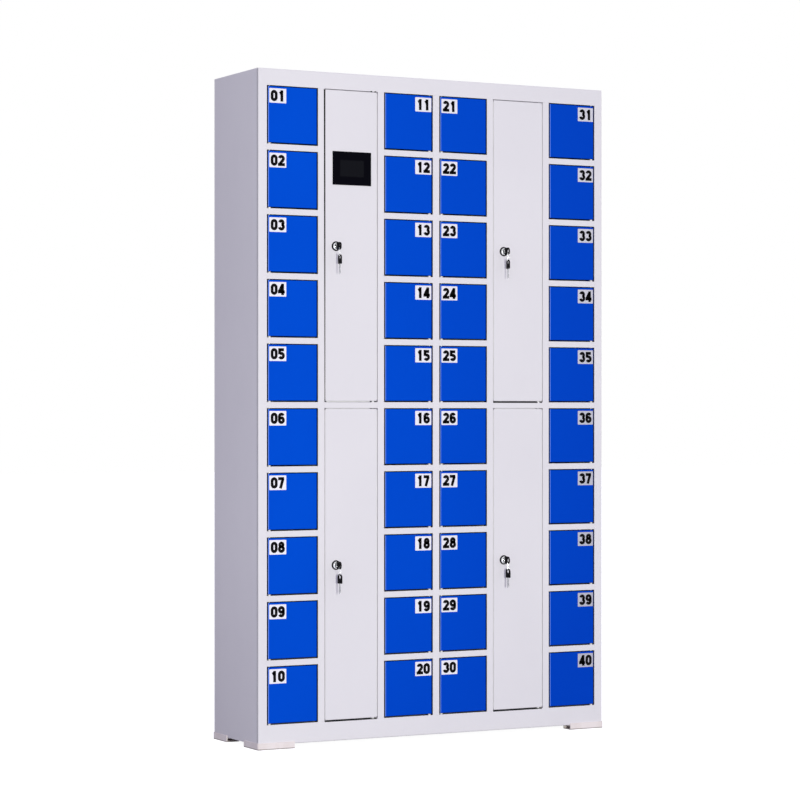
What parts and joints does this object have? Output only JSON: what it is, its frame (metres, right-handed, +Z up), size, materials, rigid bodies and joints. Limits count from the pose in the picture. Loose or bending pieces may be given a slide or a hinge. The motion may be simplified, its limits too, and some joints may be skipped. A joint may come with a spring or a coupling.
{
  "type": "phone locker cabinet",
  "caption": "Tall free-standing steel cabinet of small numbered phone lockers with pop-open doors, key-locked service bays and a touch screen, on low corner feet.",
  "frame": {"origin": "centre of the overall box at floor level, under the feet", "axes": "+Z up; the doors face -Y, and +X runs to the right as seen from in front"},
  "size_m": [1.145, 0.3432, 1.9197],
  "materials": {
    "white_paint": "smooth satin powder coat",
    "blue_paint": "smooth satin powder coat",
    "rod_steel": "bright drawn rod",
    "lock_chrome": "polished plate",
    "screen_plastic": "near-black gloss",
    "latch_plastic": "moulded, matt black",
    "control_plastic": "moulded, matt grey",
    "foot_plastic": "moulded, matt off-white",
    "label_foil": "satin silver foil, printed",
    "label_ink": "black printing ink",
    "key_plastic": "moulded, satin black",
    "key_steel": "nickel-plated blade and wire",
    "washer_nylon": "white nylon"
  },
  "bodies": {
    "cabinet": {"front_frame": "white_paint", "hinge_rods": "rod_steel", "side_panels": "white_paint", "top_panel": "white_paint", "base_panel": "white_paint", "back_panel": "white_paint", "column_partitions": "white_paint", "compartment_shelves": "white_paint", "latch_units": "latch_plastic", "control_unit": "control_plastic", "corner_feet": "foot_plastic"},
    "phone_door_01": {"phone_door_01": "blue_paint"},
    "phone_door_02": {"phone_door_02": "blue_paint"},
    "phone_door_03": {"phone_door_03": "blue_paint"},
    "phone_door_04": {"phone_door_04": "blue_paint"},
    "phone_door_05": {"phone_door_05": "blue_paint"},
    "phone_door_06": {"phone_door_06": "blue_paint"},
    "phone_door_07": {"phone_door_07": "blue_paint"},
    "phone_door_08": {"phone_door_08": "blue_paint"},
    "phone_door_09": {"phone_door_09": "blue_paint"},
    "phone_door_10": {"phone_door_10": "blue_paint"},
    "phone_door_11": {"phone_door_11": "blue_paint"},
    "phone_door_12": {"phone_door_12": "blue_paint"},
    "phone_door_13": {"phone_door_13": "blue_paint"},
    "phone_door_14": {"phone_door_14": "blue_paint"},
    "phone_door_15": {"phone_door_15": "blue_paint"},
    "phone_door_16": {"phone_door_16": "blue_paint"},
    "phone_door_17": {"phone_door_17": "blue_paint"},
    "phone_door_18": {"phone_door_18": "blue_paint"},
    "phone_door_19": {"phone_door_19": "blue_paint"},
    "phone_door_20": {"phone_door_20": "blue_paint"},
    "phone_door_21": {"phone_door_21": "blue_paint"},
    "phone_door_22": {"phone_door_22": "blue_paint"},
    "phone_door_23": {"phone_door_23": "blue_paint"},
    "phone_door_24": {"phone_door_24": "blue_paint"},
    "phone_door_25": {"phone_door_25": "blue_paint"},
    "phone_door_26": {"phone_door_26": "blue_paint"},
    "phone_door_27": {"phone_door_27": "blue_paint"},
    "phone_door_28": {"phone_door_28": "blue_paint"},
    "phone_door_29": {"phone_door_29": "blue_paint"},
    "phone_door_30": {"phone_door_30": "blue_paint"},
    "phone_door_31": {"phone_door_31": "blue_paint"},
    "phone_door_32": {"phone_door_32": "blue_paint"},
    "phone_door_33": {"phone_door_33": "blue_paint"},
    "phone_door_34": {"phone_door_34": "blue_paint"},
    "phone_door_35": {"phone_door_35": "blue_paint"},
    "phone_door_36": {"phone_door_36": "blue_paint"},
    "phone_door_37": {"phone_door_37": "blue_paint"},
    "phone_door_38": {"phone_door_38": "blue_paint"},
    "phone_door_39": {"phone_door_39": "blue_paint"},
    "phone_door_40": {"phone_door_40": "blue_paint"},
    "service_door_upper_left": {"service_door_upper_left": "white_paint", "touch_screen": "screen_plastic"},
    "lock_plug_upper_left": {"lock_plug_upper_left": "lock_chrome"},
    "service_door_lower_left": {"service_door_lower_left": "white_paint"},
    "lock_plug_lower_left": {"lock_plug_lower_left": "lock_chrome"},
    "service_door_upper_right": {"service_door_upper_right": "white_paint"},
    "lock_plug_upper_right": {"lock_plug_upper_right": "lock_chrome"},
    "service_door_lower_right": {"service_door_lower_right": "white_paint"},
    "lock_plug_lower_right": {"lock_plug_lower_right": "lock_chrome"}
  },
  "joints": [
    {"name": "phone_door_01_hinge", "type": "hinge", "parent": "cabinet", "child": "phone_door_01", "pos_m": [-0.534, -0.12995, 1.78995], "axis": [0, 0, -1], "range_deg": [0, 90]},
    {"name": "phone_door_02_hinge", "type": "hinge", "parent": "cabinet", "child": "phone_door_02", "pos_m": [-0.534, -0.12995, 1.60795], "axis": [0, 0, -1], "range_deg": [0, 90]},
    {"name": "phone_door_03_hinge", "type": "hinge", "parent": "cabinet", "child": "phone_door_03", "pos_m": [-0.534, -0.12995, 1.42595], "axis": [0, 0, -1], "range_deg": [0, 90]},
    {"name": "phone_door_04_hinge", "type": "hinge", "parent": "cabinet", "child": "phone_door_04", "pos_m": [-0.534, -0.12995, 1.24395], "axis": [0, 0, -1], "range_deg": [0, 90]},
    {"name": "phone_door_05_hinge", "type": "hinge", "parent": "cabinet", "child": "phone_door_05", "pos_m": [-0.534, -0.12995, 1.06195], "axis": [0, 0, -1], "range_deg": [0, 90]},
    {"name": "phone_door_06_hinge", "type": "hinge", "parent": "cabinet", "child": "phone_door_06", "pos_m": [-0.534, -0.12995, 0.87995], "axis": [0, 0, -1], "range_deg": [0, 90]},
    {"name": "phone_door_07_hinge", "type": "hinge", "parent": "cabinet", "child": "phone_door_07", "pos_m": [-0.534, -0.12995, 0.69795], "axis": [0, 0, -1], "range_deg": [0, 90]},
    {"name": "phone_door_08_hinge", "type": "hinge", "parent": "cabinet", "child": "phone_door_08", "pos_m": [-0.534, -0.12995, 0.51595], "axis": [0, 0, -1], "range_deg": [0, 90]},
    {"name": "phone_door_09_hinge", "type": "hinge", "parent": "cabinet", "child": "phone_door_09", "pos_m": [-0.534, -0.12995, 0.33395], "axis": [0, 0, -1], "range_deg": [0, 90]},
    {"name": "phone_door_10_hinge", "type": "hinge", "parent": "cabinet", "child": "phone_door_10", "pos_m": [-0.534, -0.12995, 0.15195], "axis": [0, 0, -1], "range_deg": [0, 90]},
    {"name": "phone_door_11_hinge", "type": "hinge", "parent": "cabinet", "child": "phone_door_11", "pos_m": [-0.02, -0.12995, 1.78995], "axis": [0, 0, 1], "range_deg": [0, 90]},
    {"name": "phone_door_12_hinge", "type": "hinge", "parent": "cabinet", "child": "phone_door_12", "pos_m": [-0.02, -0.12995, 1.60795], "axis": [0, 0, 1], "range_deg": [0, 90]},
    {"name": "phone_door_13_hinge", "type": "hinge", "parent": "cabinet", "child": "phone_door_13", "pos_m": [-0.02, -0.12995, 1.42595], "axis": [0, 0, 1], "range_deg": [0, 90]},
    {"name": "phone_door_14_hinge", "type": "hinge", "parent": "cabinet", "child": "phone_door_14", "pos_m": [-0.02, -0.12995, 1.24395], "axis": [0, 0, 1], "range_deg": [0, 90]},
    {"name": "phone_door_15_hinge", "type": "hinge", "parent": "cabinet", "child": "phone_door_15", "pos_m": [-0.02, -0.12995, 1.06195], "axis": [0, 0, 1], "range_deg": [0, 90]},
    {"name": "phone_door_16_hinge", "type": "hinge", "parent": "cabinet", "child": "phone_door_16", "pos_m": [-0.02, -0.12995, 0.87995], "axis": [0, 0, 1], "range_deg": [0, 90]},
    {"name": "phone_door_17_hinge", "type": "hinge", "parent": "cabinet", "child": "phone_door_17", "pos_m": [-0.02, -0.12995, 0.69795], "axis": [0, 0, 1], "range_deg": [0, 90]},
    {"name": "phone_door_18_hinge", "type": "hinge", "parent": "cabinet", "child": "phone_door_18", "pos_m": [-0.02, -0.12995, 0.51595], "axis": [0, 0, 1], "range_deg": [0, 90]},
    {"name": "phone_door_19_hinge", "type": "hinge", "parent": "cabinet", "child": "phone_door_19", "pos_m": [-0.02, -0.12995, 0.33395], "axis": [0, 0, 1], "range_deg": [0, 90]},
    {"name": "phone_door_20_hinge", "type": "hinge", "parent": "cabinet", "child": "phone_door_20", "pos_m": [-0.02, -0.12995, 0.15195], "axis": [0, 0, 1], "range_deg": [0, 90]},
    {"name": "phone_door_21_hinge", "type": "hinge", "parent": "cabinet", "child": "phone_door_21", "pos_m": [0.02, -0.12995, 1.78995], "axis": [0, 0, -1], "range_deg": [0, 90]},
    {"name": "phone_door_22_hinge", "type": "hinge", "parent": "cabinet", "child": "phone_door_22", "pos_m": [0.02, -0.12995, 1.60795], "axis": [0, 0, -1], "range_deg": [0, 90]},
    {"name": "phone_door_23_hinge", "type": "hinge", "parent": "cabinet", "child": "phone_door_23", "pos_m": [0.02, -0.12995, 1.42595], "axis": [0, 0, -1], "range_deg": [0, 90]},
    {"name": "phone_door_24_hinge", "type": "hinge", "parent": "cabinet", "child": "phone_door_24", "pos_m": [0.02, -0.12995, 1.24395], "axis": [0, 0, -1], "range_deg": [0, 90]},
    {"name": "phone_door_25_hinge", "type": "hinge", "parent": "cabinet", "child": "phone_door_25", "pos_m": [0.02, -0.12995, 1.06195], "axis": [0, 0, -1], "range_deg": [0, 90]},
    {"name": "phone_door_26_hinge", "type": "hinge", "parent": "cabinet", "child": "phone_door_26", "pos_m": [0.02, -0.12995, 0.87995], "axis": [0, 0, -1], "range_deg": [0, 90]},
    {"name": "phone_door_27_hinge", "type": "hinge", "parent": "cabinet", "child": "phone_door_27", "pos_m": [0.02, -0.12995, 0.69795], "axis": [0, 0, -1], "range_deg": [0, 90]},
    {"name": "phone_door_28_hinge", "type": "hinge", "parent": "cabinet", "child": "phone_door_28", "pos_m": [0.02, -0.12995, 0.51595], "axis": [0, 0, -1], "range_deg": [0, 90]},
    {"name": "phone_door_29_hinge", "type": "hinge", "parent": "cabinet", "child": "phone_door_29", "pos_m": [0.02, -0.12995, 0.33395], "axis": [0, 0, -1], "range_deg": [0, 90]},
    {"name": "phone_door_30_hinge", "type": "hinge", "parent": "cabinet", "child": "phone_door_30", "pos_m": [0.02, -0.12995, 0.15195], "axis": [0, 0, -1], "range_deg": [0, 90]},
    {"name": "phone_door_31_hinge", "type": "hinge", "parent": "cabinet", "child": "phone_door_31", "pos_m": [0.534, -0.12995, 1.78995], "axis": [0, 0, 1], "range_deg": [0, 90]},
    {"name": "phone_door_32_hinge", "type": "hinge", "parent": "cabinet", "child": "phone_door_32", "pos_m": [0.534, -0.12995, 1.60795], "axis": [0, 0, 1], "range_deg": [0, 90]},
    {"name": "phone_door_33_hinge", "type": "hinge", "parent": "cabinet", "child": "phone_door_33", "pos_m": [0.534, -0.12995, 1.42595], "axis": [0, 0, 1], "range_deg": [0, 90]},
    {"name": "phone_door_34_hinge", "type": "hinge", "parent": "cabinet", "child": "phone_door_34", "pos_m": [0.534, -0.12995, 1.24395], "axis": [0, 0, 1], "range_deg": [0, 90]},
    {"name": "phone_door_35_hinge", "type": "hinge", "parent": "cabinet", "child": "phone_door_35", "pos_m": [0.534, -0.12995, 1.06195], "axis": [0, 0, 1], "range_deg": [0, 90]},
    {"name": "phone_door_36_hinge", "type": "hinge", "parent": "cabinet", "child": "phone_door_36", "pos_m": [0.534, -0.12995, 0.87995], "axis": [0, 0, 1], "range_deg": [0, 90]},
    {"name": "phone_door_37_hinge", "type": "hinge", "parent": "cabinet", "child": "phone_door_37", "pos_m": [0.534, -0.12995, 0.69795], "axis": [0, 0, 1], "range_deg": [0, 90]},
    {"name": "phone_door_38_hinge", "type": "hinge", "parent": "cabinet", "child": "phone_door_38", "pos_m": [0.534, -0.12995, 0.51595], "axis": [0, 0, 1], "range_deg": [0, 90]},
    {"name": "phone_door_39_hinge", "type": "hinge", "parent": "cabinet", "child": "phone_door_39", "pos_m": [0.534, -0.12995, 0.33395], "axis": [0, 0, 1], "range_deg": [0, 90]},
    {"name": "phone_door_40_hinge", "type": "hinge", "parent": "cabinet", "child": "phone_door_40", "pos_m": [0.534, -0.12995, 0.15195], "axis": [0, 0, 1], "range_deg": [0, 90]},
    {"name": "service_door_upper_left_hinge", "type": "hinge", "parent": "cabinet", "child": "service_door_upper_left", "pos_m": [-0.2055, -0.12995, 1.42595], "axis": [0, 0, 1], "range_deg": [0, 90]},
    {"name": "lock_plug_upper_left_turn", "type": "hinge", "parent": "service_door_upper_left", "child": "lock_plug_upper_left", "pos_m": [-0.326, -0.13495, 1.42445], "axis": [0, 1, 0], "range_deg": [0, 90]},
    {"name": "service_door_lower_left_hinge", "type": "hinge", "parent": "cabinet", "child": "service_door_lower_left", "pos_m": [-0.2055, -0.12995, 0.51595], "axis": [0, 0, 1], "range_deg": [0, 90]},
    {"name": "lock_plug_lower_left_turn", "type": "hinge", "parent": "service_door_lower_left", "child": "lock_plug_lower_left", "pos_m": [-0.326, -0.13495, 0.51445], "axis": [0, 1, 0], "range_deg": [0, 90]},
    {"name": "service_door_upper_right_hinge", "type": "hinge", "parent": "cabinet", "child": "service_door_upper_right", "pos_m": [0.3485, -0.12995, 1.42595], "axis": [0, 0, 1], "range_deg": [0, 90]},
    {"name": "lock_plug_upper_right_turn", "type": "hinge", "parent": "service_door_upper_right", "child": "lock_plug_upper_right", "pos_m": [0.228, -0.13495, 1.42445], "axis": [0, 1, 0], "range_deg": [0, 90]},
    {"name": "service_door_lower_right_hinge", "type": "hinge", "parent": "cabinet", "child": "service_door_lower_right", "pos_m": [0.3485, -0.12995, 0.51595], "axis": [0, 0, 1], "range_deg": [0, 90]},
    {"name": "lock_plug_lower_right_turn", "type": "hinge", "parent": "service_door_lower_right", "child": "lock_plug_lower_right", "pos_m": [0.228, -0.13495, 0.51445], "axis": [0, 1, 0], "range_deg": [0, 90]}
  ]
}
